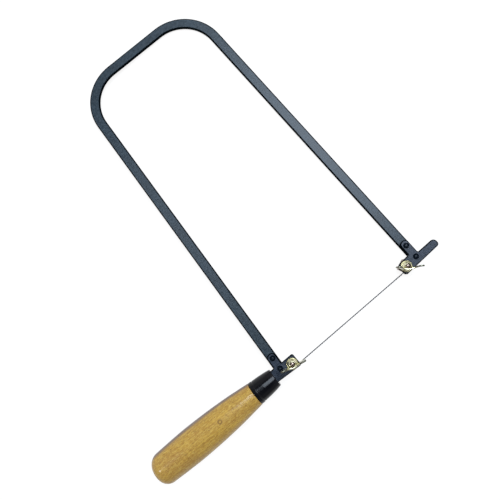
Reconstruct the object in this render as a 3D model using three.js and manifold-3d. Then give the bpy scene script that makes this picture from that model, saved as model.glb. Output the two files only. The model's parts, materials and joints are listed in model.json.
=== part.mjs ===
// Deep-throat coping saw lying on its side, in millimetres, +Z up.
//
// Saw coordinates: the origin is on the near clamp bolt's axis, level with the top face of the bow's
// flat bar. +X runs along the blade towards the far clamp, +Y towards the spine of the bow, and +Z out
// of the side that carries the brackets. The finished saw is then tipped to the attitude in which it
// rests on a flat surface, on the handle, a far rivet and the far corner of the bow.
import * as THREE from "three";
import { mergeVertices } from "three/addons/utils/BufferGeometryUtils.js";
import Module from "manifold-3d";

const wasm = await Module();
wasm.setup();

// ---- driving dimensions -------------------------------------------------------------------------
const GAP = 0.05; // between faces that rest on each other
const FIT = 0.3; // around a piece that is buried in another
const CHORD_ERROR = 0.03; // of a rounded corner in a plate's outline

const BAR = { width: 8.8, thickness: 2.6, edge: 0.5 };
const SPINE_Y = 298.3; // centreline of the spine
const BEND_RADIUS = 37; // at the centreline of the bar
const NEAR_ARM = { footX: -10.7, lean: 0.0643, endY: -3.4 }; // lean is X gained per millimetre of Y
const FAR_ARM = { footX: 136.0, lean: -0.0067, endY: -3.9 };

const PLATE = { thickness: 2.0, edge: 0.3 }; // pressed bracket plate on top of the bar
const LEG = { width: 7.6, nearTopY: 17.2, farTopY: 16.6 };
const PLATE_BOTTOM = GAP;
const PLATE_TOP = PLATE_BOTTOM + PLATE.thickness;

const RIVET = { shank: 1.5, head: 2.4, headHeight: 1.3, backHead: 2.2, backHeight: 0.9 };
const NEAR_RIVETS_Y = [2.9, 13.1];
const FAR_RIVETS_Y = [-0.1, 11.8];

const NEAR_BOLT = { x: 0, y: -0.4, wingTurn: -14.4, headTurn: 0 };
const FAR_BOLT = { x: 124.2, y: -1.1, wingTurn: -36.5, headTurn: 22 };
const BOLT = { radius: 2.0, headSide: 9.8, headHeight: 2.9, topZ: 8.4, chamfer: 0.4 };
const BOLT_HOLE = 2.2;
const WASHER = { radius: 4.8, thickness: 1.4, edge: 0.25 };
const NUT = { bore: 2.07, baseRadius: 4.2, topRadius: 3.0, height: 3.9 };
const WING = { span: 22.6, thickness: 1.3, tipOffset: 0.8, middleOffset: 2.95, bowEnd: 9.0, middleTop: 5.0 };

const BLADE = { length: 130, width: 1.0, thickness: 0.45, nearY: -3.95, farY: -3.76 };
const TEETH = { pitch: 1.8, depth: 0.4, first: 8.5, count: 62 };

const HANDLE_X = -17.8; // front rim of the ferrule
const HANDLE_LEAN = THREE.MathUtils.degToRad(1.3);
const HANDLE_Z = PLATE_BOTTOM + PLATE.thickness / 2;
const FERRULE = { length: 21, wall: 1.6, spigot: 6.3 };
const HANDLE = { length: 122.2, maxRadius: 14.05, maxAt: 83, buttRadius: 9 };
const TANG = { neckLow: -4.4, neckHigh: 6.1, neckLength: 3, width: 6, length: 58 };

// ---- materials ----------------------------------------------------------------------------------
function finish(color, roughness, metalness) {
  return new THREE.MeshStandardMaterial({ color, roughness, metalness });
}

const paintedSteel = () => finish(0x4a5560, 0.42, 0.55);
const blackPlastic = () => finish(0x141518, 0.25, 0.0);
const varnishedBeech = () => finish(0xc09a58, 0.35, 0.0);
const brass = () => finish(0xc9b676, 0.32, 0.9);
const brightSteel = () => finish(0x9a9c9e, 0.35, 0.95);

// ---- solids and meshes --------------------------------------------------------------------------
function solidFrom(geometry) {
  const bare = geometry.index ? geometry.toNonIndexed() : geometry.clone();
  bare.deleteAttribute("normal");
  bare.deleteAttribute("uv");
  const merged = mergeVertices(bare, 1e-4);
  const vertProperties = merged.attributes.position.array;
  const triVerts = new Uint32Array(merged.index.array);
  return new wasm.Manifold(new wasm.Mesh({ numProp: 3, vertProperties, triVerts }));
}

function meshFrom(name, solid, material) {
  const made = solid.getMesh();
  const geometry = new THREE.BufferGeometry();
  geometry.setAttribute("position", new THREE.BufferAttribute(new Float32Array(made.vertProperties), 3));
  geometry.setIndex(new THREE.BufferAttribute(new Uint32Array(made.triVerts), 1));
  geometry.computeVertexNormals();
  const mesh = new THREE.Mesh(geometry, material);
  mesh.name = name;
  return mesh;
}

// The points of an arc from one point to another about a centre, as finely as the chord error asks.
function arcPoints(centre, radius, start, end) {
  const from = start.clone().sub(centre).angle();
  const to = end.clone().sub(centre).angle();
  const turn = THREE.MathUtils.euclideanModulo(to - from + Math.PI, 2 * Math.PI) - Math.PI;
  const steps = Math.ceil(Math.abs(turn) / (2 * Math.acos(1 - CHORD_ERROR / radius)));
  return Array.from({ length: steps + 1 }, (_, i) => {
    const angle = from + (turn * i) / steps;
    return new THREE.Vector2(centre.x + radius * Math.cos(angle), centre.y + radius * Math.sin(angle));
  });
}

// An outline from [x, y, corner radius] points, each corner rounded by an arc.
function roundedOutline(points) {
  const outline = points.flatMap(([x, y, radius], i) => {
    const corner = new THREE.Vector2(x, y);
    if (radius === 0) return [corner];
    const before = new THREE.Vector2(...points.at(i - 1)).sub(corner).normalize();
    const after = new THREE.Vector2(...points[(i + 1) % points.length]).sub(corner).normalize();
    const half = Math.acos(before.dot(after)) / 2;
    const inward = before.clone().add(after).normalize();
    const centre = corner.clone().addScaledVector(inward, radius / Math.sin(half));
    const reach = radius / Math.tan(half);
    const start = corner.clone().addScaledVector(before, reach);
    const end = corner.clone().addScaledVector(after, reach);
    return arcPoints(centre, radius, start, end);
  });
  return new THREE.Shape(outline);
}

// A flat plate with eased edges between two heights.
function plate(shape, bottom, top, edge) {
  const geometry = new THREE.ExtrudeGeometry(shape, {
    depth: top - bottom - 2 * edge,
    bevelThickness: edge,
    bevelSize: edge,
    bevelOffset: -edge,
    bevelSegments: 1,
  });
  return geometry.translate(0, 0, bottom + edge);
}

function cylinder(radius, bottom, top, sides = 24) {
  const geometry = new THREE.CylinderGeometry(radius, radius, top - bottom, sides);
  return geometry.rotateX(Math.PI / 2).translate(0, 0, (top + bottom) / 2);
}

// A turned piece about Z from [radius, height] points.
function turned(profile, sides) {
  const points = profile.map(([radius, height]) => new THREE.Vector2(radius, height));
  return new THREE.LatheGeometry(points, sides).rotateX(Math.PI / 2);
}

function box(lowX, highX, lowY, highY, lowZ, highZ) {
  const geometry = new THREE.BoxGeometry(highX - lowX, highY - lowY, highZ - lowZ);
  return geometry.translate((lowX + highX) / 2, (lowY + highY) / 2, (lowZ + highZ) / 2);
}

// ---- bow ----------------------------------------------------------------------------------------
const armX = (arm, y) => arm.footX + arm.lean * y;

function armCorner(arm, offset, y, radius) {
  const across = offset * Math.hypot(1, arm.lean);
  return [armX(arm, y) + across, y, radius];
}

function bow() {
  const half = BAR.width / 2;
  const outline = roundedOutline([
    armCorner(NEAR_ARM, -half, NEAR_ARM.endY, 1),
    armCorner(NEAR_ARM, half, NEAR_ARM.endY, 1),
    armCorner(NEAR_ARM, half, SPINE_Y - half, BEND_RADIUS - half),
    armCorner(FAR_ARM, -half, SPINE_Y - half, BEND_RADIUS - half),
    armCorner(FAR_ARM, -half, FAR_ARM.endY, 1),
    armCorner(FAR_ARM, half, FAR_ARM.endY, 1),
    armCorner(FAR_ARM, half, SPINE_Y + half, BEND_RADIUS + half),
    armCorner(NEAR_ARM, -half, SPINE_Y + half, BEND_RADIUS + half),
  ]);
  let solid = solidFrom(plate(outline, -BAR.thickness, 0, BAR.edge));
  for (const [x, y] of rivetCentres()) {
    const hole = cylinder(RIVET.shank + FIT / 2, -BAR.thickness - 1, 1).translate(x, y, 0);
    solid = solid.subtract(solidFrom(hole));
  }
  return meshFrom("bow", solid, paintedSteel());
}

// ---- brackets and rivets ------------------------------------------------------------------------
const nearRivets = () => NEAR_RIVETS_Y.map((y) => [armX(NEAR_ARM, y) + 0.4, y]);
const farRivets = () => FAR_RIVETS_Y.map((y) => [armX(FAR_ARM, y), y]);
const rivetCentres = () => [...nearRivets(), ...farRivets()];

// A point at a distance down the handle's axis and beside it.
function besideHandle(distance, beside, radius = 0) {
  const point = new THREE.Vector2(-distance, beside).rotateAround(new THREE.Vector2(), -HANDLE_LEAN);
  return [HANDLE_X + point.x, point.y, radius];
}

function bracket(name, outline, bolt, rivets) {
  let solid = solidFrom(plate(roundedOutline(outline), PLATE_BOTTOM, PLATE_TOP, PLATE.edge));
  const holes = [[bolt.x, bolt.y, BOLT_HOLE], ...rivets.map(([x, y]) => [x, y, RIVET.shank + FIT / 2])];
  for (const [x, y, radius] of holes) {
    solid = solid.subtract(solidFrom(cylinder(radius, -1, PLATE_TOP + 1).translate(x, y, 0)));
  }
  return meshFrom(name, solid, paintedSteel());
}

function nearBracket() {
  const half = LEG.width / 2;
  const outline = [
    [5.35, -6.1, 1.3],
    [5.35, 5.6, 1.6],
    armCorner(NEAR_ARM, half, 5.6, 0.9),
    armCorner(NEAR_ARM, half, LEG.nearTopY, 3.3),
    armCorner(NEAR_ARM, -half, LEG.nearTopY, 3.3),
    armCorner(NEAR_ARM, -half, 6.1, 0.9),
    besideHandle(TANG.neckLength, TANG.neckHigh, 1),
    besideHandle(TANG.neckLength + 1.5, TANG.width / 2, 0),
    besideHandle(TANG.length - 4, TANG.width / 2, 1),
    besideHandle(TANG.length, 0, 0.9),
    besideHandle(TANG.length - 4, -TANG.width / 2, 1),
    besideHandle(TANG.neckLength + 1.5, -TANG.width / 2, 0),
    besideHandle(TANG.neckLength, TANG.neckLow, 0),
  ];
  return bracket("near_bracket", outline, NEAR_BOLT, nearRivets());
}

function farBracket() {
  const half = LEG.width / 2;
  const outline = [
    [119.0, -6.8, 2.6],
    [157.9, -5.1, 2.4],
    [157.9, 1.8, 3.4],
    armCorner(FAR_ARM, half, 1.5, 1.4),
    armCorner(FAR_ARM, half, LEG.farTopY, 3.3),
    armCorner(FAR_ARM, -half, LEG.farTopY, 3.3),
    armCorner(FAR_ARM, -half, 4.7, 0.9),
    [119.2, 3.8, 3.2],
  ];
  return bracket("far_bracket", outline, FAR_BOLT, farRivets());
}

function rivet(name, [x, y]) {
  const under = -BAR.thickness - GAP;
  const over = PLATE_TOP + GAP;
  const profile = [
    [0, under - RIVET.backHeight],
    [RIVET.backHead * 0.6, under - RIVET.backHeight],
    [RIVET.backHead, under - RIVET.backHeight * 0.35],
    [RIVET.backHead, under],
    [RIVET.shank, under],
    [RIVET.shank, over],
    [RIVET.head, over],
    [RIVET.head, over + RIVET.headHeight * 0.3],
    [RIVET.head * 0.8, over + RIVET.headHeight * 0.75],
    [RIVET.head * 0.4, over + RIVET.headHeight],
    [0, over + RIVET.headHeight],
  ];
  const mesh = meshFrom(name, solidFrom(turned(profile, 24)), paintedSteel());
  mesh.position.set(x, y, 0);
  return mesh;
}

// ---- handle and ferrule -------------------------------------------------------------------------
// Both are turned about the handle's axis, which runs from the ferrule's front rim towards -X.
function alongHandle(profile, sides) {
  return turned(profile, sides).rotateY(-Math.PI / 2);
}

function tangSlot(low, high, from, to) {
  const half = PLATE.thickness / 2 + FIT;
  return solidFrom(box(-to, -from, low - FIT, high + FIT, -half, half));
}

function ferrule() {
  const bore = FERRULE.spigot + FIT;
  const profile = [
    [0, 0],
    [7.0, 0],
    [7.6, 0.3],
    [7.9, 1],
    [8.6, 5],
    [9.25, 11],
    [9.65, 16],
    [9.9, 20.2],
    [9.8, 20.8],
    [9.5, FERRULE.length],
    [bore, FERRULE.length],
    [bore, FERRULE.wall],
    [0, FERRULE.wall],
  ];
  const slot = tangSlot(TANG.neckLow, TANG.neckHigh, -1, FERRULE.wall + 1);
  return meshFrom("ferrule", solidFrom(alongHandle(profile, 36)).subtract(slot), blackPlastic());
}

// Radius of the wood at a distance from the ferrule's rim: a long swell that eases off to the butt.
function swell() {
  const form = new THREE.SplineCurve([
    new THREE.Vector2(10.05, FERRULE.length + GAP),
    new THREE.Vector2(11.1, 31),
    new THREE.Vector2(12.3, 43),
    new THREE.Vector2(13.5, 62),
    new THREE.Vector2(HANDLE.maxRadius, HANDLE.maxAt),
    new THREE.Vector2(13.8, 98),
    new THREE.Vector2(13.2, HANDLE.length - HANDLE.buttRadius),
  ]);
  return form.getPoints(15).map((point) => [point.x, point.y]);
}

function handle() {
  const front = TANG.neckLength + FIT;
  const side = swell();
  const edge = side.at(-1);
  const flat = edge[0] - HANDLE.buttRadius;
  const butt = [1, 2, 3, 4, 5, 6].map((step) => {
    const turn = (step / 6) * (Math.PI / 2);
    return [flat + HANDLE.buttRadius * Math.cos(turn), edge[1] + HANDLE.buttRadius * Math.sin(turn)];
  });
  const profile = [
    [0, front],
    [FERRULE.spigot - 0.8, front],
    [FERRULE.spigot, front + 0.8],
    [FERRULE.spigot, FERRULE.length + GAP],
    ...side,
    ...butt,
    [0, HANDLE.length + 0.4],
  ];
  const tang = tangSlot(-TANG.width / 2, TANG.width / 2, -1, TANG.length + 1);
  const shoulder = tangSlot(TANG.neckLow, TANG.neckHigh, -1, TANG.neckLength + 2);
  const solid = solidFrom(alongHandle(profile, 36)).subtract(tang).subtract(shoulder);
  return meshFrom("handle", solid, varnishedBeech());
}

function handleGroup() {
  const group = new THREE.Group();
  group.add(ferrule(), handle());
  group.position.set(HANDLE_X, 0, HANDLE_Z);
  group.rotation.z = -HANDLE_LEAN;
  return group;
}

// ---- blade clamps -------------------------------------------------------------------------------
const BLADE_BOTTOM = PLATE_TOP + GAP;
const WASHER_BOTTOM = BLADE_BOTTOM + BLADE.thickness + GAP;
const NUT_BOTTOM = WASHER_BOTTOM + WASHER.thickness + GAP;

function clampBolt(name, headTurn) {
  const half = BOLT.headSide / 2;
  const square = roundedOutline([
    [-half, -half, 0.8],
    [half, -half, 0.8],
    [half, half, 0.8],
    [-half, half, 0.8],
  ]);
  const head = solidFrom(plate(square, -BOLT.headHeight, 0, 0.4));
  const shank = turned(
    [
      [0, -BOLT.headHeight / 2],
      [BOLT.radius, -BOLT.headHeight / 2],
      [BOLT.radius, BOLT.topZ - BOLT.chamfer],
      [BOLT.radius - BOLT.chamfer, BOLT.topZ],
      [0, BOLT.topZ],
    ],
    32,
  );
  const mesh = meshFrom(name, head.add(solidFrom(shank)), brightSteel());
  mesh.rotation.z = THREE.MathUtils.degToRad(headTurn);
  return mesh;
}

function clampWasher(name) {
  const profile = [
    [BOLT_HOLE, 0],
    [WASHER.radius - WASHER.edge, 0],
    [WASHER.radius, WASHER.edge],
    [WASHER.radius, WASHER.thickness - WASHER.edge],
    [WASHER.radius - WASHER.edge, WASHER.thickness],
    [BOLT_HOLE, WASHER.thickness],
    [BOLT_HOLE, 0],
  ];
  const mesh = meshFrom(name, solidFrom(turned(profile, 32)), brass());
  mesh.position.z = WASHER_BOTTOM;
  return mesh;
}

// How far the wings' wall stands beside the bolt's axis: it bows out around the bore.
function wallOffset(x) {
  const share = Math.min(Math.abs(x) / WING.bowEnd, 1);
  const bow = (1 + Math.cos(Math.PI * share)) / 2;
  return WING.tipOffset + (WING.middleOffset - WING.tipOffset) * bow;
}

// Both wings are one wall on the side of the boss: the wall's plan crossed with its face outline.
function wingWall() {
  const tip = WING.span / 2;
  const steps = 18;
  const stations = Array.from({ length: steps + 1 }, (_, i) => -tip + (2 * tip * i) / steps);
  const half = WING.thickness / 2;
  const outer = stations.map((x) => new THREE.Vector2(x, -wallOffset(x) - half));
  const inner = stations.toReversed().map((x) => new THREE.Vector2(x, -wallOffset(x) + half));
  const plan = new THREE.Shape([...outer, ...inner]);
  const face = roundedOutline([
    [-tip, 5.6, 3],
    [-5.2, 0.3, 2],
    [5.2, 0.3, 2],
    [tip, 5.6, 3],
    [tip, 11.5, 2.2],
    [tip - 4.4, 11.0, 2],
    [4.4, WING.middleTop, 1.6],
    [-4.4, WING.middleTop, 1.6],
    [4.4 - tip, 11.0, 2],
    [-tip, 11.5, 2.2],
  ]);
  const upright = new THREE.ExtrudeGeometry(plan, { depth: 12, bevelEnabled: false });
  const across = new THREE.ExtrudeGeometry(face, { depth: 10, bevelEnabled: false });
  across.translate(0, 0, -5).rotateX(Math.PI / 2);
  return solidFrom(upright).intersect(solidFrom(across));
}

function wingNut(name, wingTurn) {
  const boss = turned(
    [
      [NUT.bore, 0],
      [NUT.baseRadius - 0.3, 0],
      [NUT.baseRadius, 0.3],
      [NUT.topRadius, NUT.height - 0.3],
      [NUT.topRadius - 0.3, NUT.height],
      [NUT.bore + 0.3, NUT.height],
      [NUT.bore, NUT.height - 0.3],
      [NUT.bore, 0],
    ],
    32,
  );
  const mesh = meshFrom(name, solidFrom(boss).add(wingWall()), brass());
  mesh.position.z = NUT_BOTTOM;
  mesh.rotation.z = THREE.MathUtils.degToRad(wingTurn);
  return mesh;
}

function clampGroup(end, bolt) {
  const group = new THREE.Group();
  group.add(clampBolt(`${end}_clamp_bolt`, bolt.headTurn));
  group.add(clampWasher(`${end}_clamp_washer`));
  group.add(wingNut(`${end}_wing_nut`, bolt.wingTurn));
  group.position.set(bolt.x, bolt.y, 0);
  return group;
}

// ---- blade --------------------------------------------------------------------------------------
function blade() {
  const back = BLADE.width / 2;
  const tip = -BLADE.width / 2;
  const root = tip + TEETH.depth;
  const shape = new THREE.Shape();
  shape.moveTo(0, root);
  for (let i = 0; i < TEETH.count; i += 1) {
    const start = TEETH.first + i * TEETH.pitch;
    shape.lineTo(start, root);
    shape.lineTo(start + TEETH.pitch * 0.25, tip);
    shape.lineTo(start + TEETH.pitch * 0.8, root);
  }
  shape.lineTo(BLADE.length, root);
  shape.lineTo(BLADE.length, back);
  shape.lineTo(0, back);
  shape.closePath();
  const geometry = new THREE.ExtrudeGeometry(shape, { depth: BLADE.thickness, bevelEnabled: false });
  const mesh = meshFrom("blade", solidFrom(geometry), brightSteel());
  const overhang = (BLADE.length - FAR_BOLT.x) / 2;
  mesh.position.set(-overhang, BLADE.nearY, BLADE_BOTTOM);
  mesh.rotation.z = Math.atan2(BLADE.farY - BLADE.nearY, FAR_BOLT.x);
  return mesh;
}

// ---- the whole saw ------------------------------------------------------------------------------
function saw() {
  const group = new THREE.Group();
  group.add(bow(), nearBracket(), farBracket(), handleGroup(), blade());
  nearRivets().forEach((centre, i) => group.add(rivet(`near_rivet_${i + 1}`, centre)));
  farRivets().forEach((centre, i) => group.add(rivet(`far_rivet_${i + 1}`, centre)));
  group.add(clampGroup("near", NEAR_BOLT), clampGroup("far", FAR_BOLT));
  return group;
}

// The vertex of a mesh beyond a given Y that lies lowest against an upward direction.
function lowestVertex(mesh, up, beyondY) {
  const positions = mesh.geometry.getAttribute("position");
  const vertices = Array.from({ length: positions.count }, (_, i) => {
    return new THREE.Vector3().fromBufferAttribute(positions, i).applyMatrix4(mesh.matrixWorld);
  });
  const offered = vertices.filter((vertex) => vertex.y > beyondY);
  return offered.reduce((lowest, vertex) => (vertex.dot(up) < lowest.dot(up) ? vertex : lowest));
}

// The turn that sets the saw down on the three pieces that touch a flat surface: the plane through
// their lowest points settles in a few rounds, because a new plane moves the points only a little.
function restingTurn(group) {
  group.updateMatrixWorld(true);
  const level = new THREE.Vector3(0, 0, 1);
  const up = level.clone();
  for (let round = 0; round < 8; round += 1) {
    const handlePoint = lowestVertex(group.getObjectByName("handle"), up, -Infinity);
    const rivetPoint = lowestVertex(group.getObjectByName("far_rivet_2"), up, -Infinity);
    const bowPoint = lowestVertex(group.getObjectByName("bow"), up, SPINE_Y / 2);
    up.copy(new THREE.Plane().setFromCoplanarPoints(handlePoint, rivetPoint, bowPoint).normal);
  }
  return new THREE.Quaternion().setFromUnitVectors(up, level);
}

// The saw at rest, its box centred over the origin with its lowest points at height zero.
function restingSaw() {
  const turnedSaw = saw();
  turnedSaw.quaternion.copy(restingTurn(turnedSaw));
  turnedSaw.updateMatrixWorld(true);
  const bounds = new THREE.Box3().setFromObject(turnedSaw, true);
  const middle = bounds.getCenter(new THREE.Vector3());
  turnedSaw.position.set(-middle.x, -middle.y, -bounds.min.z);
  const part = new THREE.Group();
  part.add(turnedSaw);
  return part;
}

export default restingSaw();
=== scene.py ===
"""The looks of a deep-throat coping saw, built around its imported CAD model.

Each piece is made in millimetres in the saw's own coordinates, which the record's joints give: the
origin is on the near clamp bolt's axis, level with the top face of the flat bar, +X runs along the
blade to the far clamp, +Y to the spine of the bow, and +Z out of the side that carries the brackets.
A piece is then moved into the frame of the CAD model, in metres, and stands for its CAD node.
"""

import json
import math

import bmesh
import bpy
from mathutils import Matrix, Vector


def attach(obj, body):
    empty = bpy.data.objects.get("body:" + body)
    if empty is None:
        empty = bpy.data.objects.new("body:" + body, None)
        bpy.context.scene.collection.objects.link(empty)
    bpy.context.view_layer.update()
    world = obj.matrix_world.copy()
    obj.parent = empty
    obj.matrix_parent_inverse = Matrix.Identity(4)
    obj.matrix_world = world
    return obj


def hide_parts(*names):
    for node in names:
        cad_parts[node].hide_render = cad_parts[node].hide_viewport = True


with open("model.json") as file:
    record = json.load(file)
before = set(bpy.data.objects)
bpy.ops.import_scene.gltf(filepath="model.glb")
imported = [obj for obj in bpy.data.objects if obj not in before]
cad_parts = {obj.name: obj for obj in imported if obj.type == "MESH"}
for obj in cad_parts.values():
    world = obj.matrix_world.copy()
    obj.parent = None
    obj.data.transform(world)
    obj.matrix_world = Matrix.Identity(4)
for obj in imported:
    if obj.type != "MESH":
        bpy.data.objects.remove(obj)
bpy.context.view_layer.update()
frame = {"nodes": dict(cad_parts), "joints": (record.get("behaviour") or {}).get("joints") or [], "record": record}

# ---- where the saw lies --------------------------------------------------------------------------
MM = 0.001
RECORD = frame["record"]
JOINTS = {joint["name"]: joint for joint in frame["joints"]}
BODY_OF = {node: body for body, nodes in RECORD["behaviour"]["bodies"].items() for node in nodes}

NEAR_BOLT_Y = -0.4  # where the near wing nut's joint is, in saw coordinates
NUT_JOINT_Z = 4.0

UP = Vector(JOINTS["near_nut_turn"]["axis"]).normalized()
TO_SPINE = -Vector(JOINTS["blade_release"]["axis"]).normalized()
ALONG_BLADE = TO_SPINE.cross(UP).normalized()
TURN = Matrix((ALONG_BLADE, TO_SPINE, UP)).transposed().to_4x4()
NEAR_JOINT = Vector(JOINTS["near_nut_turn"]["pos_m"])
ORIGIN = NEAR_JOINT - TO_SPINE * NEAR_BOLT_Y * MM - UP * NUT_JOINT_Z * MM
TO_ROW = Matrix.Translation(ORIGIN) @ TURN @ Matrix.Scale(MM, 4)
TO_SAW = TO_ROW.inverted()


def saw_box(node):
    """Lowest and highest corner of a CAD node, in saw coordinates."""
    points = [TO_SAW @ vertex.co for vertex in frame["nodes"][node].data.vertices]
    low = Vector([min(point[axis] for point in points) for axis in range(3)])
    high = Vector([max(point[axis] for point in points) for axis in range(3)])
    return low, high


# ---- driving dimensions, in millimetres ----------------------------------------------------------
BAR_WIDTH = 8.8
BAR_EDGE = 0.6  # how wide a bar's or a plate's corners are rounded
SPINE_Y = 298.3
BEND_RADIUS = 37.0
# an arm's centreline crosses the X axis at its foot, leans in X by a share of Y, and ends at a Y
NEAR_ARM = {"foot": -10.7, "lean": 0.0643, "end": -3.4}
FAR_ARM = {"foot": 136.0, "lean": -0.0067, "end": -3.9}

PLATE_EDGE = 0.4
LEG_WIDTH = 7.6
LEG_CORNER = 3.3
RIVET_HOLE = 1.65
RIVET_SHANK = 1.5
RIVET_GAP = 0.05
BOLT_HOLE = 2.2

HANDLE_X = -17.8
HANDLE_LEAN = math.radians(1.3)
FERRULE_LENGTH = 21.0
FERRULE_WALL = 1.6
FERRULE_GAP = 0.05
SPIGOT_RADIUS = 6.3
BUTT_RADIUS = 9.0
BUTT_CROWN = 0.4
KNOT = (13.0, 2.3, 54.5)  # in the handle's own axes, with Z down the handle
TANG = {"neck_low": -4.4, "neck_high": 6.1, "neck_length": 3.0, "width": 6.0, "length": 58.0}
FIT = 0.3

BOLT_HEAD = {"width": 9.8, "corner": 0.8, "edge": 0.5}
THREAD = {"radius": 2.0, "pitch": 0.7, "depth": 0.36, "crest": 0.12, "chamfer": 0.5, "crown": 0.38}
NUT_BORE = 2.07
NUT_HEIGHT = 3.9
NUT_VOXEL = 0.15
WING = {"span": 22.6, "thickness": 1.3, "edge": 0.3, "tip_offset": 0.8, "middle_offset": 2.95,
        "bow_end": 9.0, "middle_top": 5.0}

BLADE = {"length": 130.0, "back": 0.5, "root": -0.1, "start_y": -3.95, "rise": 0.19}
TOOTH = {"count": 62, "first": 8.5, "pitch": 1.8, "tip": -0.5, "set": 0.07}

EDGE_FADE = 0.5  # how far the painted shade round a plate's sides runs in from a rounded corner
ARC_STEP = math.radians(7)
BEND_STEP = math.radians(3)
SHARP = math.radians(40)
SIDES = 96
BORE_SIDES = 48
SMALL_SIDES = 64
THREAD_SIDES = 40
THREAD_ROWS = 12  # rows of points to each turn of the thread


# ---- outlines ------------------------------------------------------------------------------------
def rounded(points, closed=True, step=ARC_STEP):
    """Points of an outline from (x, y, corner radius) corners, each rounded by an arc."""
    outline = []
    count = len(points)
    for index, (x, y, radius) in enumerate(points):
        corner = Vector((x, y))
        at_end = not closed and index in (0, count - 1)
        if radius == 0 or at_end:
            outline.append(corner)
            continue
        before = (Vector(points[index - 1][:2]) - corner).normalized()
        after = (Vector(points[(index + 1) % count][:2]) - corner).normalized()
        half = before.angle(after) / 2
        centre = corner + (before + after).normalized() * (radius / math.sin(half))
        start = corner + before * (radius / math.tan(half)) - centre
        turn = math.pi - 2 * half
        if before.x * after.y - before.y * after.x > 0:
            turn = -turn
        steps = max(2, math.ceil(abs(turn) / step))
        for number in range(steps + 1):
            outline.append(centre + Matrix.Rotation(turn * number / steps, 2) @ start)
    return outline


def arm_x(arm, y):
    return arm["foot"] + arm["lean"] * y


def arm_corner(arm, offset, y, radius):
    """A corner beside an arm's centreline, at a distance measured across the arm."""
    return (arm_x(arm, y) + offset * math.hypot(1, arm["lean"]), y, radius)


def beside_handle(distance, beside, radius=0):
    """A corner at a distance down the handle's axis and beside it."""
    point = Matrix.Rotation(-HANDLE_LEAN, 2) @ Vector((-distance, beside))
    return (HANDLE_X + point.x, point.y, radius)


def near_bracket_outline():
    half = LEG_WIDTH / 2
    length = TANG["length"]
    neck = TANG["neck_length"]
    return rounded([
        (5.35, -6.1, 1.3),
        (5.35, 5.6, 1.6),
        arm_corner(NEAR_ARM, half, 5.6, 0.9),
        arm_corner(NEAR_ARM, half, 17.2, LEG_CORNER),
        arm_corner(NEAR_ARM, -half, 17.2, LEG_CORNER),
        arm_corner(NEAR_ARM, -half, 6.1, 0.9),
        beside_handle(neck, TANG["neck_high"], 1),
        beside_handle(neck + 1.5, TANG["width"] / 2),
        beside_handle(length - 4, TANG["width"] / 2, 1),
        beside_handle(length, 0, 0.9),
        beside_handle(length - 4, -TANG["width"] / 2, 1),
        beside_handle(neck + 1.5, -TANG["width"] / 2),
        beside_handle(neck, TANG["neck_low"]),
    ])


def far_bracket_outline():
    half = LEG_WIDTH / 2
    return rounded([
        (119.0, -6.8, 2.6),
        (157.9, -5.1, 2.4),
        (157.9, 1.8, 3.4),
        arm_corner(FAR_ARM, half, 1.5, 1.4),
        arm_corner(FAR_ARM, half, 16.6, LEG_CORNER),
        arm_corner(FAR_ARM, -half, 16.6, LEG_CORNER),
        arm_corner(FAR_ARM, -half, 4.7, 0.9),
        (119.2, 3.8, 3.2),
    ])


def bow_outline():
    half = BAR_WIDTH / 2
    return rounded([
        arm_corner(NEAR_ARM, -half, NEAR_ARM["end"], 1),
        arm_corner(NEAR_ARM, half, NEAR_ARM["end"], 1),
        arm_corner(NEAR_ARM, half, SPINE_Y - half, BEND_RADIUS - half),
        arm_corner(FAR_ARM, -half, SPINE_Y - half, BEND_RADIUS - half),
        arm_corner(FAR_ARM, -half, FAR_ARM["end"], 1),
        arm_corner(FAR_ARM, half, FAR_ARM["end"], 1),
        arm_corner(FAR_ARM, half, SPINE_Y + half, BEND_RADIUS + half),
        arm_corner(NEAR_ARM, -half, SPINE_Y + half, BEND_RADIUS + half),
    ], step=BEND_STEP)


# ---- solids --------------------------------------------------------------------------------------
def as_object(name, bm):
    """A new object of a bmesh, with its faces turned outwards."""
    bmesh.ops.recalc_face_normals(bm, faces=bm.faces)
    mesh = bpy.data.meshes.new(name)
    bm.to_mesh(mesh)
    bm.free()
    made = bpy.data.objects.new(name, mesh)
    bpy.context.scene.collection.objects.link(made)
    return made


def plate(outline, bottom, top):
    """A flat plate between two heights."""
    bm = bmesh.new()
    low = [bm.verts.new((x, y, bottom)) for x, y in outline]
    high = [bm.verts.new((x, y, top)) for x, y in outline]
    bm.faces.new(low)
    bm.faces.new(high)
    for index in range(len(outline)):
        before = index - 1
        bm.faces.new((low[before], low[index], high[index], high[before]))
    return bm


def turned(profile, closed=False, sides=SIDES):
    """A piece turned about Z from (radius, height) points. A point on the axis closes an end."""
    bm = bmesh.new()
    rings = []
    for radius, height in profile:
        if radius == 0:
            rings.append([bm.verts.new((0, 0, height))] * sides)
            continue
        angles = [2 * math.pi * side / sides for side in range(sides)]
        rings.append([bm.verts.new((radius * math.cos(a), radius * math.sin(a), height)) for a in angles])
    pairs = list(zip(rings, rings[1:]))
    if closed:
        pairs.append((rings[-1], rings[0]))
    for lower, upper in pairs:
        for side in range(sides):
            corners = (lower[side - 1], lower[side], upper[side], upper[side - 1])
            distinct = list(dict.fromkeys(corners))
            if len(distinct) > 2:
                bm.faces.new(distinct)
    return bm


def box(low, high):
    bm = bmesh.new()
    bmesh.ops.create_cube(bm, size=1)
    size = Vector(high) - Vector(low)
    middle = (Vector(high) + Vector(low)) / 2
    place = Matrix.Translation(middle) @ Matrix.Diagonal(size).to_4x4()
    bmesh.ops.transform(bm, matrix=place, verts=bm.verts)
    return bm


def bake_modifiers(made):
    """Replaces an object's mesh by what its modifiers make of it."""
    bpy.context.view_layer.update()
    depsgraph = bpy.context.evaluated_depsgraph_get()
    mesh = bpy.data.meshes.new_from_object(made.evaluated_get(depsgraph))
    made.modifiers.clear()
    made.data = mesh


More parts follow.
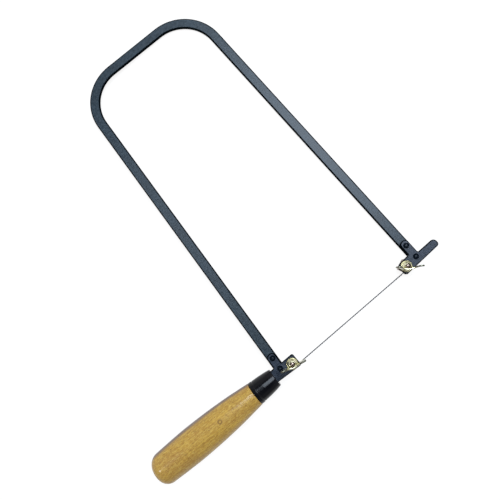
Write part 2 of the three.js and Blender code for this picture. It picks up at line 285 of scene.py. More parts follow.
def combine(made, other_bm, operation):
    """Cuts a solid from an object, or joins it on."""
    other = as_object("tool", other_bm)
    modifier = made.modifiers.new("combine", "BOOLEAN")
    modifier.operation = operation
    modifier.solver = "EXACT"
    modifier.object = other
    bake_modifiers(made)
    bpy.data.objects.remove(other)


def drill(made, centres, radius, low, high):
    for x, y in centres:
        bm = turned([(0, low), (radius, low), (radius, high), (0, high)], sides=BORE_SIDES)
        bmesh.ops.translate(bm, vec=(x, y, 0), verts=bm.verts)
        combine(made, bm, "DIFFERENCE")


def ease_edges(made, width, segments=4, holes=()):
    """Rounds every sharp edge but those of the (x, y, radius) holes."""
    slack = 0.05
    bm = bmesh.new()
    bm.from_mesh(made.data)
    weight = bm.edges.layers.float.new("bevel_weight_edge")
    for edge in bm.edges:
        middle = (edge.verts[0].co + edge.verts[1].co) / 2
        spared = any(math.hypot(middle.x - x, middle.y - y) < radius + slack for x, y, radius in holes)
        edge[weight] = float(not spared and edge.calc_face_angle(0.0) > SHARP)
    bm.to_mesh(made.data)
    bm.free()
    modifier = made.modifiers.new("ease", "BEVEL")
    modifier.width = width
    modifier.segments = segments
    modifier.limit_method = "WEIGHT"
    modifier.use_clamp_overlap = False
    bake_modifiers(made)


def shade_by_area(mesh):
    """Sets each corner's normal from the faces around it by their areas, but not across sharp edges, so
    that a flat face stays flat beside its rounded edge."""
    mesh.shade_smooth()
    around = [[] for _ in mesh.vertices]
    for polygon in mesh.polygons:
        weighted = (polygon.normal.copy(), polygon.area)
        for index in polygon.vertices:
            around[index].append(weighted)
    least = math.cos(SHARP)
    corners = []
    for polygon in mesh.polygons:
        for index in polygon.vertices:
            mean = Vector()
            for normal, area in around[index]:
                if normal.dot(polygon.normal) > least:
                    mean += normal * area
            corners.append(mean.normalized())
    mesh.normals_split_custom_set(corners)


def mark_sides(made, low, high):
    """Stores 1 round the sides of a plate and 0 on its two flat faces, with a short fade between."""
    slack = 0.005
    bm = bmesh.new()
    bm.from_mesh(made.data)
    flat = []
    for face in bm.faces:
        heights = [vertex.co.z for vertex in face.verts]
        if any(all(abs(height - level) < slack for height in heights) for level in (low, high)):
            flat.append(face)
    bmesh.ops.inset_region(bm, faces=flat, thickness=EDGE_FADE, use_boundary=True)
    side = bm.verts.layers.float.new("side")
    for vertex in bm.verts:
        vertex[side] = 1.0
    for face in flat:
        for vertex in face.verts:
            vertex[side] = 0.0
    bm.to_mesh(made.data)
    bm.free()


def stand_for(node, made, material, place=Matrix.Identity(4)):
    """Moves a finished piece from its own millimetres into the frame, in place of its CAD node. Its
    material reads the piece's own coordinates from the attribute called local."""
    mesh = made.data
    made.name = node + "_detail"
    local = mesh.attributes.new("local", "FLOAT_VECTOR", "POINT")
    local.data.foreach_set("vector", [value for vertex in mesh.vertices for value in vertex.co])
    mesh.transform(place)
    shade_by_area(mesh)
    mesh.transform(TO_ROW)
    mesh.materials.clear()
    mesh.materials.append(material)
    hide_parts(node)
    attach(made, BODY_OF[node])


# ---- nodes ---------------------------------------------------------------------------------------
def colour(red, green, blue):
    return (red, green, blue, 1.0)


class Nodes:
    """A tree whose nodes are linked as they are made. An input is a number, a colour or a socket."""

    def __init__(self, tree):
        self.tree = tree

    def add(self, kind, inputs, output=0, **settings):
        """Adds a node with inputs by name or number, and gives back one of its outputs."""
        node = self.tree.nodes.new("ShaderNode" + kind)
        for name, value in settings.items():
            setattr(node, name, value)
        for name, value in inputs.items():
            self.put(node.inputs[name], value)
        return node.outputs[output]

    def put(self, socket, value):
        if isinstance(value, bpy.types.NodeSocket):
            self.tree.links.new(value, socket)
        else:
            socket.default_value = value

    def calc(self, operation, first, second=0.0, clamp=False):
        return self.add("Math", {0: first, 1: second}, operation=operation, use_clamp=clamp)

    def times(self, first, second, clamp=False):
        return self.calc("MULTIPLY", first, second, clamp)

    def spread(self, value, low, high, start=0.0, end=1.0):
        """Maps a value from start..end to low..high, and holds it there."""
        inputs = {"Value": value, "From Min": start, "From Max": end, "To Min": low, "To Max": high}
        return self.add("MapRange", inputs, clamp=True)

    def mix(self, share, first, second, blend="MIX"):
        """Mixes two colours; a share of 1 is the second."""
        inputs = {0: share, 6: first, 7: second}
        return self.add("Mix", inputs, output=2, data_type="RGBA", blend_type=blend)


class Finish(Nodes):
    """A material. Its patterns are measured in millimetres on the piece that wears it."""

    def __init__(self, name):
        self.material = bpy.data.materials.new(name)
        self.material.use_nodes = True
        super().__init__(self.material.node_tree)
        self.surface = self.tree.nodes["Principled BSDF"]
        self.local = self.add("Attribute", {}, output="Vector", attribute_name="local")

    def set(self, **inputs):
        """Sets the surface's inputs; Base_Color stands for Base Color."""
        for name, value in inputs.items():
            self.put(self.surface.inputs[name.replace("_", " ")], value)

    def attribute(self, name):
        return self.add("Attribute", {}, output="Fac", attribute_name=name)

    def stretched(self, scale):
        return self.add("VectorMath", {0: self.local, 1: scale}, operation="MULTIPLY")

    def noise(self, scale, detail=2.0, roughness=0.5):
        """Noise with a number of waves per millimetre, the same each way or along X, Y and Z."""
        each = scale if isinstance(scale, tuple) else (scale, scale, scale)
        inputs = {"Vector": self.stretched(each), "Scale": 1.0, "Detail": detail, "Roughness": roughness}
        return self.add("TexNoise", inputs)

    def cells(self, scale):
        """Soft dimples, with a number of them per millimetre."""
        inputs = {"Vector": self.stretched((scale, scale, scale)), "Scale": 1.0, "Smoothness": 0.6}
        return self.add("TexVoronoi", inputs, feature="SMOOTH_F1")

    def bump(self, height, depth, normal=None):
        """Relief whose height of 1 is a depth in millimetres."""
        inputs = {"Height": height, "Distance": depth * MM, "Strength": 1.0}
        if normal:
            inputs["Normal"] = normal
        return self.add("Bump", inputs)


# ---- materials -----------------------------------------------------------------------------------
def painted_steel(name, face, sides, roughness):
    """Satin hammered paint, with painted shade that turns it near black round its sides, matt there, and a few
    specks rubbed to the steel.
    """
    finish = Finish(name)
    side = finish.attribute("side")
    broad = finish.noise(0.06, detail=3.0)
    mottle = finish.noise(0.45, detail=4.0, roughness=0.6)
    fine = finish.noise(3.0, detail=2.0)
    tone = finish.spread(mottle, 0.75, 1.25, 0.3, 0.7)
    tone = finish.times(tone, finish.spread(broad, 0.85, 1.15, 0.35, 0.65))
    tone = finish.times(tone, finish.spread(fine, 0.9, 1.1, 0.3, 0.7))
    # painted shade: rim fades the paint into the near-black sides colour round the sides of a bar or plate
    rim = finish.spread(side, 0.0, 1.0, 0.0, 0.4)
    paint = finish.mix(rim, face, sides)
    paint = finish.mix(1.0, paint, tone, "MULTIPLY")
    on_edge = finish.times(finish.times(side, finish.calc("SUBTRACT", 1.0, side)), 4.0)
    speck = finish.spread(finish.noise(1.1, detail=5.0, roughness=0.7), 0.0, 1.0, 0.62, 0.7)
    worn = finish.times(on_edge, speck, clamp=True)
    bare_steel = colour(0.16, 0.165, 0.17)
    shade = finish.mix(worn, paint, bare_steel)
    hammer = finish.cells(0.55)
    peel = finish.noise(1.6, detail=3.0)
    relief = finish.bump(hammer, 0.02)
    relief = finish.bump(peel, 0.008, relief)
    rough = finish.spread(mottle, roughness - 0.05, roughness + 0.07, 0.3, 0.7)
    rough = finish.calc("ADD", rough, finish.times(side, 0.15))
    sheen = finish.spread(rim, 0.30, 0.0)
    sheen = finish.times(sheen, finish.spread(mottle, 0.75, 1.25, 0.3, 0.7))
    sheen = finish.times(sheen, finish.spread(fine, 0.85, 1.15, 0.3, 0.7))
    finish.set(Base_Color=shade, Roughness=rough, Specular_IOR_Level=sheen, Normal=relief)
    return finish.material


def varnished_beech():
    """Beech cut from beside the heart of the tree, under gloss varnish: faint rings, silky streaks,
    mottled figure and short dark rays, with one pin knot. A dark band of painted shade runs down one side."""
    finish = Finish("varnished_beech")
    beside_heart = (-31.0, 17.0, 0.0)
    ring_width = 3.4
    knot_radius = 1.4
    heart = finish.add("VectorMath", {0: finish.local, 1: beside_heart}, operation="ADD")
    sway = finish.noise((0.03, 0.03, 0.012), detail=2.0)
    across = finish.add("VectorMath", {0: heart, 1: (1.0, 1.0, 0.02)}, operation="MULTIPLY")
    reach = finish.add("VectorMath", {0: across}, output="Value", operation="LENGTH")
    reach = finish.calc("ADD", reach, finish.times(sway, 9.0))
    ring = finish.calc("FRACT", finish.calc("DIVIDE", reach, ring_width))
    ring = finish.spread(ring, 0.0, 1.0, 0.15, 1.0)
    streak = finish.noise((0.9, 0.9, 0.035), detail=4.0, roughness=0.6)
    silk = finish.noise((4.0, 4.0, 0.16), detail=3.0, roughness=0.65)
    patch = finish.noise((0.07, 0.07, 0.025), detail=3.0)
    ray = finish.noise((3.4, 3.4, 0.6), detail=1.0)
    fleck = finish.noise((1.3, 1.3, 0.3), detail=4.0, roughness=0.7)
    pale = colour(0.43, 0.26, 0.04)
    deep = colour(0.25, 0.128, 0.019)
    red = colour(0.270, 0.135, 0.034)
    light = colour(0.43, 0.285, 0.062)
    ray_brown = colour(0.10, 0.046, 0.012)
    knot_brown = colour(0.13, 0.06, 0.014)
    painted_side_shade = colour(0.08, 0.048, 0.046)
    wood = finish.mix(finish.spread(streak, 0.0, 0.85, 0.36, 0.66), pale, deep)
    wood = finish.mix(finish.spread(patch, 0.0, 0.65, 0.47, 0.66), wood, red)
    wood = finish.mix(finish.spread(ring, 0.0, 0.30, 0.35, 1.0), wood, deep)
    wood = finish.mix(finish.spread(fleck, 0.0, 0.8, 0.50, 0.63), wood, light)
    wood = finish.mix(finish.spread(fleck, 0.9, 0.0, 0.34, 0.48), wood, deep)
    wood = finish.mix(finish.spread(silk, 0.0, 0.35, 0.5, 0.8), wood, light)
    dark = finish.spread(ray, 0.0, 0.65, 0.58, 0.67)
    wood = finish.mix(dark, wood, ray_brown)
    knot = finish.add("VectorMath", {0: finish.local, 1: KNOT}, output="Value", operation="DISTANCE")
    from_rim = finish.calc("ABSOLUTE", finish.calc("SUBTRACT", knot, knot_radius))
    wood = finish.mix(finish.spread(from_rim, 0.8, 0.0, 0.1, 0.8), wood, knot_brown)
    # painted shade: a dark band down the side of the handle that faces its own +Y
    out = finish.add("VectorMath", {0: finish.stretched((1.0, 1.0, 0.0))}, operation="NORMALIZE")
    aside = finish.add("SeparateXYZ", {0: out}, output="Y")
    wood = finish.mix(finish.spread(aside, 0.0, 0.9, 0.86, 0.97), wood, painted_side_shade)
    relief = finish.bump(silk, 0.02)
    relief = finish.bump(finish.calc("SUBTRACT", 1.0, dark), 0.02, relief)
    level = finish.bump(finish.noise(0.35, detail=2.0), 0.04)
    finish.set(Base_Color=wood, Roughness=finish.spread(streak, 0.48, 0.6, 0.3, 0.7), Normal=relief)
    finish.set(Specular_IOR_Level=0.2, Coat_Weight=0.42)
    finish.set(Coat_Roughness=finish.spread(patch, 0.14, 0.22), Coat_Normal=level)
    return finish.material


def black_ferrule():
    """Gloss black moulding, with faint mould flow, smudges and hairline scratches round it."""
    finish = Finish("black_ferrule")
    smudge = finish.noise(0.16, detail=4.0, roughness=0.6)
    flow = finish.noise((0.35, 0.35, 0.06), detail=3.0)
    scratch = finish.noise((0.3, 0.3, 6.0), detail=1.0)
    clean = colour(0.001, 0.001, 0.002)
    smudged = colour(0.004, 0.004, 0.005)
    black = finish.mix(finish.spread(smudge, 0.0, 1.0, 0.3, 0.7), clean, smudged)
    relief = finish.bump(flow, 0.005)
    relief = finish.bump(finish.spread(scratch, 0.0, 1.0, 0.6, 0.7), 0.0015, relief)
    rough = finish.spread(smudge, 0.15, 0.22, 0.3, 0.7)
    finish.set(Base_Color=black, Roughness=rough, Specular_IOR_Level=0.18, Normal=relief)
    return finish.material


def brass(name, light, dull, cast=True, tip_reflection_share=0.0):
    """Yellow plating over metal, duller in patches, with a cast or turned surface. Above a height that only
    the wings of a nut reach, a share of painted reflection turns it dark grey."""
    finish = Finish(name)
    painted_tip_reflection = colour(0.09, 0.09, 0.07)
    turning_pitch = 0.22
    patch = finish.noise(0.25, detail=2.0)
    fine = finish.noise(2.6, detail=3.0)
    height = finish.add("SeparateXYZ", {0: finish.local}, output="Z")
    shade = finish.mix(finish.spread(patch, 0.0, 1.0, 0.42, 0.72), light, dull)
    # painted reflection: the wing tips turn dark grey, for the grey reflection seen on them
    shade = finish.mix(finish.spread(height, 0.0, tip_reflection_share, 5.5, 8.0), shade, painted_tip_reflection)
    shade = finish.mix(1.0, shade, finish.spread(fine, 0.88, 1.08, 0.3, 0.7), "MULTIPLY")
    if cast:
        relief = finish.bump(finish.noise(0.9, detail=3.0, roughness=0.55), 0.01)
    else:
        flat = finish.stretched((1.0, 1.0, 0.0))
        reach = finish.add("VectorMath", {0: flat}, output="Value", operation="LENGTH")
        wave = finish.calc("SINE", finish.times(reach, 2 * math.pi / turning_pitch))
        relief = finish.bump(finish.calc("ADD", wave, finish.noise(1.5)), 0.004)
    rough = finish.spread(patch, 0.2, 0.32, 0.35, 0.75)
    finish.set(Base_Color=shade, Roughness=rough, Metallic=1.0, Normal=relief)
    return finish.material


def blade_steel():
    """Dark tempered steel, ground along its length, brighter where the teeth were filed."""
    finish = Finish("blade_steel")
    ground = finish.noise((0.15, 9.0, 9.0), detail=3.0)
    temper = finish.noise((0.05, 0.4, 0.4), detail=2.0)
    filed = finish.attribute("side")
    blued = colour(0.008, 0.008, 0.010)
    grey = colour(0.018, 0.018, 0.020)
    scratched = colour(0.030, 0.030, 0.032)
    bright = colour(0.10, 0.10, 0.105)
    steel = finish.mix(temper, blued, grey)
    steel = finish.mix(finish.spread(ground, 0.0, 0.5, 0.3, 0.7), steel, scratched)
    steel = finish.mix(finish.times(filed, 0.5), steel, bright)
    relief = finish.bump(ground, 0.006)
    rough = finish.spread(ground, 0.3, 0.42)
    finish.set(Base_Color=steel, Roughness=rough, Specular_IOR_Level=0.15, Normal=relief)
    return finish.material


# ---- bow, brackets and rivets --------------------------------------------------------------------
def rivet_centres(node_start):
    """Centres of the two rivets of one bracket, from the CAD rivets' own boxes."""
    boxes = [saw_box(f"{node_start}_rivet_{number}") for number in (1, 2)]
    return [((low.x + high.x) / 2, (low.y + high.y) / 2) for low, high in boxes]


NEAR_RIVETS = rivet_centres("near")
FAR_RIVETS = rivet_centres("far")
NEAR_BOLT = TO_SAW @ NEAR_JOINT
FAR_BOLT = TO_SAW @ Vector(JOINTS["far_nut_turn"]["pos_m"])
BAR_LOW, BAR_HIGH = (corner.z for corner in saw_box("bow"))
PLATE_LOW, PLATE_HIGH = (corner.z for corner in saw_box("near_bracket"))
HANDLE_Z = (PLATE_LOW + PLATE_HIGH) / 2


def make_bow(material):
    made = as_object("bow", plate(bow_outline(), BAR_LOW, BAR_HIGH))
    rivets = NEAR_RIVETS + FAR_RIVETS
    drill(made, rivets, RIVET_HOLE, BAR_LOW - 1, BAR_HIGH + 1)
    ease_edges(made, BAR_EDGE, holes=[(*centre, RIVET_HOLE) for centre in rivets])
    mark_sides(made, BAR_LOW, BAR_HIGH)
    stand_for("bow", made, material)


def make_bracket(node, outline, bolt, rivets, material):
    made = as_object(node, plate(outline, PLATE_LOW, PLATE_HIGH))
    drill(made, rivets, RIVET_HOLE, PLATE_LOW - 1, PLATE_HIGH + 1)
    drill(made, [(bolt.x, bolt.y)], BOLT_HOLE, PLATE_LOW - 1, PLATE_HIGH + 1)
    holes = [(*centre, RIVET_HOLE) for centre in rivets]
    ease_edges(made, PLATE_EDGE, holes=[*holes, (bolt.x, bolt.y, BOLT_HOLE)])
    mark_sides(made, PLATE_LOW, PLATE_HIGH)
    stand_for(node, made, material)


def make_rivet(node, centre, material):
    """A pan head over the bracket, a shank, and a lower formed head behind the bar."""
    low, high = saw_box(node)
    head = (high.x - low.x) / 2
    under = BAR_LOW - RIVET_GAP
    over = PLATE_HIGH + RIVET_GAP
    profile = rounded([
        (0, low.z, 0),
        (head * 0.8, low.z, 1.3),
        (head * 0.92, under, 0.06),
        (RIVET_SHANK, under, 0.05),
        (RIVET_SHANK, over, 0.05),
        (head, over, 0.1),
        (head * 0.98, over + 0.75, 0.5),
        (head * 0.55, high.z - 0.08, 0.9),
        (0.5, high.z, 0.4),
        (0, high.z, 0),
    ], closed=False)
    made = as_object(node, turned(profile, sides=SMALL_SIDES))
    # painted shade: side rises from the head's middle to its rim, and darkens the rivet paint there
    side = made.data.attributes.new("side", "FLOAT", "POINT")
    middle = 0.3
    fade = 2.0
    reach = [math.hypot(vertex.co.x, vertex.co.y) for vertex in made.data.vertices]
    side.data.foreach_set("value", [min(max((radius - middle) / fade, 0.0), 1.0) for radius in reach])
    stand_for(node, made, material, Matrix.Translation((*centre, 0)))


# ---- handle and ferrule --------------------------------------------------------------------------
DOWN_HANDLE = (Matrix.Translation((HANDLE_X, 0, HANDLE_Z)) @ Matrix.Rotation(-HANDLE_LEAN, 4, "Z")
               @ Matrix.Rotation(-math.pi / 2, 4, "Y"))


def spline(points, steps):
    """A smooth curve through (x, y) points, a few steps to each span."""
    made = []
    for index in range(len(points) - 1):
        before = Vector(points[max(index - 1, 0)])
        start = Vector(points[index])
        end = Vector(points[index + 1])
        after = Vector(points[min(index + 2, len(points) - 1)])
        for step in range(steps):
            t = step / steps
            bend = 2 * before - 5 * start + 4 * end - after
            turn = 3 * start - 3 * end + after - before
            made.append(start + 0.5 * (t * (end - before) + t * t * bend + t ** 3 * turn))
    made.append(Vector(points[-1]))
    return made


def tang_slot(low, high, start, end):
    """The slot for the bracket's tang, in the handle's own axes, where X is across the plate."""
    half = (PLATE_HIGH - PLATE_LOW) / 2 + FIT
    return box((-half, low - FIT, start), (half, high + FIT, end))


def cut_slots(made, slots):
    for slot in slots:
        combine(made, tang_slot(*slot), "DIFFERENCE")


def make_ferrule(material):
    bore = SPIGOT_RADIUS + FIT
    end = FERRULE_LENGTH
    profile = rounded([
        (0, 0, 0),
        (7.55, 0, 0.55),
        (7.95, 1.2, 2),
        (8.6, 5, 20),
        (9.25, 11, 30),
        (9.62, 17.2, 0.3),
        (9.42, 17.6, 0.15),
        (9.5, 17.9, 0.15),
        (9.88, 18.3, 0.3),
        (9.9, end, 0.5),
        (bore, end, 0.2),
        (bore, FERRULE_WALL, 0.2),
        (0, FERRULE_WALL, 0),
    ], closed=False)
    made = as_object("ferrule", turned(profile))
    cut_slots(made, [(TANG["neck_low"], TANG["neck_high"], -1, FERRULE_WALL + 1)])
    stand_for("ferrule", made, material, DOWN_HANDLE)


def make_handle(material):
    low, high = saw_box("handle")
    length = (high.x - low.x) / math.cos(HANDLE_LEAN) + TANG["neck_length"] + FIT
    front = TANG["neck_length"] + FIT
    start = FERRULE_LENGTH + FERRULE_GAP
    straight = length - BUTT_CROWN - BUTT_RADIUS
    swell = spline([
        (10.12, start + 0.9),
        (11.1, 31),
        (12.3, 43),
        (13.5, 62),
        (14.05, 83),
        (13.8, 98),
        (13.2, straight),
    ], 8)
    shoulder = rounded([(9.0, start, 0), (10.02, start, 0.7), (10.12, start + 0.9, 0)], closed=False)
    flat = swell[-1].x - BUTT_RADIUS
    butt = []
    steps = 14
    for step in range(1, steps + 1):
        turn = math.pi / 2 * step / steps
        butt.append((flat + BUTT_RADIUS * math.cos(turn), straight + BUTT_RADIUS * math.sin(turn)))
    profile = [
        (0, front),
        (SPIGOT_RADIUS - 0.8, front),
        (SPIGOT_RADIUS, front + 0.8),
        (SPIGOT_RADIUS, start),
        *shoulder,
        *swell[1:],
        *butt,
        (2.0, length - 0.06),
        (0, length),
    ]
    made = as_object("handle", turned(profile))
    half = TANG["width"] / 2
    cut_slots(made, [
        (-half, half, -1, TANG["length"] + 1),
        (TANG["neck_low"], TANG["neck_high"], -1, TANG["neck_length"] + 2),
    ])
    stand_for("handle", made, material, DOWN_HANDLE)


# ---- blade clamps --------------------------------------------------------------------------------
def threaded_shank(bottom, top):
    """A right-handed thread with flat crests and roots, closed by a crowned end."""
    sides = THREAD_SIDES
    rows = round((top - bottom) / THREAD["pitch"] * THREAD_ROWS)
    crest = THREAD["crest"]
    bm = bmesh.new()
    rings = []
    for row in range(rows + 1):
        z = bottom + (top - bottom) * row / rows
        limit = THREAD["radius"] - max(0.0, z - top + THREAD["chamfer"])
        ring = []
        for side in range(sides):
            share = (z / THREAD["pitch"] - side / sides) % 1.0
            depth = min(max((abs(2 * share - 1) - crest) / (1 - 2 * crest), 0.0), 1.0)
            radius = min(THREAD["radius"] - THREAD["depth"] * depth, limit)
            angle = 2 * math.pi * side / sides
            ring.append(bm.verts.new((radius * math.cos(angle), radius * math.sin(angle), z)))
        rings.append(ring)
    for lower, upper in zip(rings, rings[1:]):
        for side in range(sides):
            bm.faces.new((lower[side - 1], lower[side], upper[side], upper[side - 1]))
    bm.faces.new(rings[0])
    rim = rings[-1]
    for share, rise in ((0.75, 0.2), (0.45, 0.33), (0.2, THREAD["crown"])):
        ring = [bm.verts.new((v.co.x * share, v.co.y * share, top + rise)) for v in rings[-1]]
        for side in range(sides):
            bm.faces.new((rim[side - 1], rim[side], ring[side], ring[side - 1]))
        rim = ring
    bm.faces.new(rim)
    return bm


def make_bolt(node, bolt, head_turn, material):
    """A bolt from behind, with a square head that is turned by some degrees."""
    low, high = saw_box(node)
    half = BOLT_HEAD["width"] / 2
    square = ((-half, -half), (half, -half), (half, half), (-half, half))
    outline = rounded([(x, y, BOLT_HEAD["corner"]) for x, y in square])
    made = as_object(node, plate(outline, low.z, 0))
    ease_edges(made, BOLT_HEAD["edge"])
    combine(made, threaded_shank(-1.0, high.z - THREAD["crown"]), "UNION")
    place = Matrix.Translation((bolt.x, bolt.y, 0)) @ Matrix.Rotation(math.radians(head_turn), 4, "Z")
    stand_for(node, made, material, place)


def make_washer(node, bolt, material):
    low, high = saw_box(node)
    radius = (high.x - low.x) / 2
    thickness = high.z - low.z
    profile = rounded([
        (BOLT_HOLE, 0, 0.15),
        (radius, 0, 0.3),
        (radius, thickness, 0.45),
        (BOLT_HOLE, thickness, 0.2),
    ])
    made = as_object(node, turned(profile, closed=True))
    stand_for(node, made, material, Matrix.Translation((bolt.x, bolt.y, low.z)))


def wall_offset(x):
    """How far the wings' wall stands beside the bolt's axis: it bows out around the bore."""
    share = min(abs(x) / WING["bow_end"], 1.0)
    bow = (1 + math.cos(math.pi * share)) / 2
    return WING["tip_offset"] + (WING["middle_offset"] - WING["tip_offset"]) * bow


def wing_wall():
    """Both wings of a nut: two flared leaves and the low wall between them, which is bowed in plan."""
    tip = WING["span"] / 2
    outline = rounded([
        (-tip, 5.6, 3),
        (-5.2, 0.3, 2),
        (5.2, 0.3, 2),
        (tip, 5.6, 3),
        (tip, 11.5, 2.2),
        (tip - 4.4, 11.0, 2),
        (4.4, WING["middle_top"], 1.6),
        (-4.4, WING["middle_top"], 1.6),
        (4.4 - tip, 11.0, 2),
        (-tip, 11.5, 2.2),
    ])
    wall = as_object("wall", plate(outline, -5, 5))
    wall.data.transform(Matrix.Rotation(math.pi / 2, 4, "X"))
    half = WING["thickness"] / 2
    stations = [tip * (step / 20 - 1) for step in range(41)]
    plan = [Vector((x, -wall_offset(x) - half)) for x in stations]
    plan += [Vector((x, -wall_offset(x) + half)) for x in reversed(stations)]
    combine(wall, plate(plan, -1, 13), "INTERSECT")
    ease_edges(wall, WING["edge"], 3)
    bm = bmesh.new()
    bm.from_mesh(wall.data)
    bpy.data.objects.remove(wall)
    return bm


def nut_form():
    """The mesh of a cast wing nut: the boss and wings grown into each other, then bored."""
    boss = turned(rounded([
        (0, 0, 0),
        (4.2, 0, 0.35),
        (3.15, NUT_HEIGHT - 0.75, 0.9),
        (2.35, NUT_HEIGHT, 0.5),
        (0, NUT_HEIGHT, 0),
    ], closed=False), sides=SMALL_SIDES)
    made = as_object("nut", boss)
    combine(made, wing_wall(), "UNION")
    remesh = made.modifiers.new("cast", "REMESH")
    remesh.mode = "VOXEL"
    remesh.voxel_size = NUT_VOXEL
    smooth = made.modifiers.new("soften", "SMOOTH")
    smooth.factor = 0.5
    smooth.iterations = 5
    bake_modifiers(made)
    bore = rounded([
        (0, -1, 0),
        (NUT_BORE + 0.6, -1, 0),
        (NUT_BORE + 0.6, 0, 0),
        (NUT_BORE, 0.6, 0),
        (NUT_BORE, NUT_HEIGHT - 0.25, 0),
        (NUT_BORE + 0.2, NUT_HEIGHT, 0),
        (NUT_BORE + 0.2, 8, 0),
        (0, 8, 0),
    ], closed=False)
    combine(made, turned(bore, sides=SMALL_SIDES), "DIFFERENCE")
    mesh = made.data
    bpy.data.objects.remove(made)
    return mesh


def wing_turn(node, bolt):
    """The angle of a CAD wing nut's wings, from the line between the ends of its wall."""
    points = [TO_SAW @ vertex.co for vertex in frame["nodes"][node].data.vertices]
    arms = [Vector((point.x - bolt.x, point.y - bolt.y)) for point in points]
    tip_length = 1.5
    reach = max(arm.length for arm in arms)
    tips = [arm for arm in arms if arm.length > reach - tip_length]
    ends = []
    for sign in (-1, 1):
        side = [arm for arm in tips if arm.x * sign > 0]
        ends.append(sum(side, Vector((0, 0))) / len(side))
    between = ends[1] - ends[0]
    return math.atan2(between.y, between.x)


def make_nut(node, bolt, mesh, material):
    made = bpy.data.objects.new(node, mesh.copy())
    bpy.context.scene.collection.objects.link(made)
    base = saw_box(node)[0].z
    place = Matrix.Translation((bolt.x, bolt.y, base)) @ Matrix.Rotation(wing_turn(node, bolt), 4, "Z")
    stand_for(node, made, material, place)


# ---- blade ---------------------------------------------------------------------------------------
def toothed_edge():
    """(x, y, lean) points of the blade's edge: its teeth point towards the handle, and lean to each
    side in turn."""
    root = BLADE["root"]
    tip = TOOTH["tip"]
    pitch = TOOTH["pitch"]
    plain = 0.5
    edge = [(0, root, 0), (plain, root, 0)]
    for tooth in range(TOOTH["count"]):
        start = TOOTH["first"] + tooth * pitch
        lean = TOOTH["set"] if tooth % 2 else -TOOTH["set"]
        edge.append((start, root, 0))
        edge.append((start + pitch * 0.25, tip, lean))
        edge.append((start + pitch * 0.5, (tip + root) / 2 - 0.03, lean / 2))
        edge.append((start + pitch * 0.8, root, 0))
    return edge + [(BLADE["length"] - plain, root, 0), (BLADE["length"], root, 0)]


def make_blade(material):
    """A thin strip, plain at both ends, clamped along a line that rises a little to the far bolt."""
    low, high = saw_box("blade")
    thickness = high.z - low.z
    edge = toothed_edge()
    bm = bmesh.new()
    rails = []
    for face_z in (0, thickness):
        rails.append([bm.verts.new((x, y, face_z + lean)) for x, y, lean in edge])
        rails.append([bm.verts.new((x, BLADE["back"], face_z)) for x, y, lean in edge])
    low_edge, low_back, high_edge, high_back = rails
    around = (low_edge, low_back, high_back, high_edge)
    for side, lower in enumerate(around):
        upper = around[(side + 1) % len(around)]
        for index in range(1, len(edge)):
            bm.faces.new((lower[index - 1], lower[index], upper[index], upper[index - 1]))
    for end in (0, -1):
        bm.faces.new([rail[end] for rail in around])
    made = as_object("blade", bm)
    filed_below = BLADE["root"] - 0.01
    filed = made.data.attributes.new("side", "FLOAT", "POINT")
    filed.data.foreach_set("value", [float(vertex.co.y < filed_below) for vertex in made.data.vertices])
    slope = math.atan2(BLADE["rise"], FAR_BOLT.x)
    place = Matrix.Translation((low.x, BLADE["start_y"], low.z)) @ Matrix.Rotation(slope, 4, "Z")
    stand_for("blade", made, material, place)


# ---- the pieces ----------------------------------------------------------------------------------
def make_saw():
    # painted shade: the near-black colour painted round the sides of the bar and brackets
    painted_edge_shade = colour(0.002, 0.003, 0.004)
    bar_paint = painted_steel("bar_paint", colour(0.009, 0.019, 0.027), painted_edge_shade, 0.38)
    bracket_paint = painted_steel("bracket_paint", colour(0.009, 0.015, 0.026), painted_edge_shade, 0.36)
    # painted shade: the rivet heads darken towards their rims
    rivet_rim_shade = colour(0.003, 0.005, 0.008)
    rivet_paint = painted_steel("rivet_paint", colour(0.012, 0.018, 0.026), rivet_rim_shade, 0.2)
    # painted reflection: 0.9 of the grey is put on the nut's wing tips
    nut_brass = brass("nut_brass", colour(0.70, 0.67, 0.46), colour(0.34, 0.32, 0.17), tip_reflection_share=0.9)
    # painted shade: the washer's brass is a darker copy of the nut's, for the shade under the nut's wings
    shaded_washer_brass = brass("shaded_washer_brass", colour(0.50, 0.46, 0.26), colour(0.24, 0.21, 0.10), cast=False)
    bolt_brass = brass("bolt_brass", colour(0.22, 0.17, 0.14), colour(0.07, 0.045, 0.035))

    make_bow(bar_paint)
    make_bracket("near_bracket", near_bracket_outline(), NEAR_BOLT, NEAR_RIVETS, bracket_paint)
    make_bracket("far_bracket", far_bracket_outline(), FAR_BOLT, FAR_RIVETS, bracket_paint)
    for end, centres in (("near", NEAR_RIVETS), ("far", FAR_RIVETS)):
        for number, centre in enumerate(centres, 1):
            make_rivet(f"{end}_rivet_{number}", centre, rivet_paint)
    make_ferrule(black_ferrule())
    make_handle(varnished_beech())
    nut = nut_form()
    for end, bolt, head_turn in (("near", NEAR_BOLT, 0), ("far", FAR_BOLT, 22)):
        make_bolt(f"{end}_clamp_bolt", bolt, head_turn, bolt_brass)
        make_washer(f"{end}_clamp_washer", bolt, shaded_washer_brass)
        make_nut(f"{end}_wing_nut", bolt, nut, nut_brass)
    make_blade(blade_steel())


# ---- camera, floor and light ---------------------------------------------------------------------
# the camera's place and directions are in saw coordinates; lights and floor are measured in metres
PICTURE_RIGHT = (0.764360, -0.644079, -0.030275)
PICTURE_UP = (0.643104, 0.758127, 0.107986)
TOWARDS_VIEWER = (-0.046599, -0.102010, 0.993691)
VIEWER = (16.285, 54.685, 379.3)
LENS = 32.4
SENSOR = 36.0
FLOOR_HALF = 4.0
FLOOR_GAP = 0.0001


def direction_in_row(x, y, z):
    return (TURN.to_3x3() @ Vector((x, y, z))).normalized()


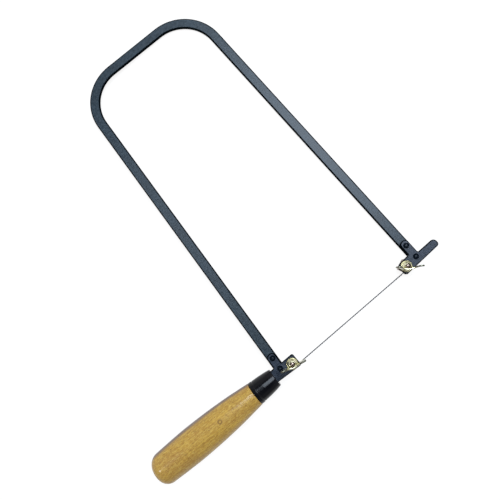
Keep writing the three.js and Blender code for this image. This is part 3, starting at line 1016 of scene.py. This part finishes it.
def make_camera():
    camera = bpy.data.cameras.new("camera")
    camera.lens = LENS
    camera.sensor_width = SENSOR
    camera.clip_start = 0.01
    made = bpy.data.objects.new("camera", camera)
    bpy.context.scene.collection.objects.link(made)
    axes = [direction_in_row(*axis) for axis in (PICTURE_RIGHT, PICTURE_UP, TOWARDS_VIEWER)]
    made.matrix_world = Matrix.Translation(TO_ROW @ Vector(VIEWER)) @ Matrix(axes).transposed().to_4x4()
    bpy.context.scene.camera = made


def softbox(name, slope, distance, size, power, tint=(1.0, 1.0, 1.0), turn=0.0):
    """An area light that faces the middle of the saw. It stands in the direction of X and Y slopes to
    the saw's plane, and its width runs along the blade, or is turned from that by some degrees."""
    light = bpy.data.lights.new(name, "AREA")
    light.shape = "RECTANGLE"
    light.size, light.size_y = size
    light.energy = power
    light.color = tint
    made = bpy.data.objects.new(name, light)
    bpy.context.scene.collection.objects.link(made)
    back = direction_in_row(*slope)
    across = direction_in_row(1.0, 0.0, 0.0)
    across = (across - back * across.dot(back)).normalized()
    across = Matrix.Rotation(math.radians(turn), 3, back) @ across
    axes = Matrix((across, back.cross(across), back)).transposed().to_4x4()
    made.matrix_world = Matrix.Translation(back * distance) @ axes


def make_floor():
    """A light table: frosted glass, lit from under, so that the saw hardly throws a shadow on it."""
    finish = Finish("studio_floor")
    place = finish.add("TexCoord", {}, output="Object")
    grain = finish.add("TexNoise", {"Vector": place, "Scale": 40.0, "Detail": 3.0})
    glass = finish.mix(grain, colour(0.11, 0.11, 0.11), colour(0.13, 0.13, 0.13))
    glow = finish.mix(grain, colour(0.87, 0.865, 0.86), colour(0.90, 0.895, 0.89))
    finish.set(Base_Color=glass, Roughness=0.9, Specular_IOR_Level=0.0)
    finish.set(Emission_Color=glow, Emission_Strength=1.0)
    bm = bmesh.new()
    square = ((-1, -1), (1, -1), (1, 1), (-1, 1))
    bm.faces.new([bm.verts.new((x * FLOOR_HALF, y * FLOOR_HALF, -FLOOR_GAP)) for x, y in square])
    floor = as_object("studio_floor", bm)
    floor.data.materials.append(finish.material)


def make_world():
    """A pale room: bright all round, dim overhead, and brighter on the side of the bow's spine. What
    shows of it past the floor is plain white."""
    world = bpy.data.worlds.new("studio")
    world.use_nodes = True
    bpy.context.scene.world = world
    room = Nodes(world.node_tree)
    place = room.add("TexCoord", {}, output="Generated")
    height = room.add("SeparateXYZ", {0: place}, output="Z")
    shade = room.add("ValToRGB", {0: height})
    ramp = shade.node.color_ramp
    ramp.elements[0].color = colour(0.66, 0.67, 0.69)
    ramp.elements[1].position = 0.55
    ramp.elements[1].color = colour(0.82, 0.83, 0.85)
    for position, grey in ((0.76, 0.26), (1.0, 0.14)):
        ramp.elements.new(position).color = colour(grey, grey * 1.03, grey * 1.1)
    beside = room.add("VectorMath", {0: place, 1: TO_SPINE}, output="Value", operation="DOT_PRODUCT")
    level = room.spread(beside, 0.55, 0.95, -0.8, 0.8)
    seen = room.add("LightPath", {}, output="Is Camera Ray")
    background = room.tree.nodes["Background"]
    strength = room.add("Mix", {0: seen, 2: level, 3: 1.0}, data_type="FLOAT")
    room.put(background.inputs["Color"], room.mix(seen, shade, colour(1.0, 1.0, 1.0)))
    room.put(background.inputs["Strength"], strength)


def make_studio():
    make_camera()
    make_floor()
    make_world()
    softbox("window", slope=(0.366, 0.17, 1.0), distance=1.5, size=(1.0, 0.94), power=30,
            tint=(0.88, 1.0, 1.16), turn=10)
    softbox("lamp", slope=(-0.85, 0.1, 1.0), distance=1.3, size=(0.2, 0.08), power=3.5)
    bpy.context.scene.view_settings.view_transform = "Standard"


make_saw()
make_studio()
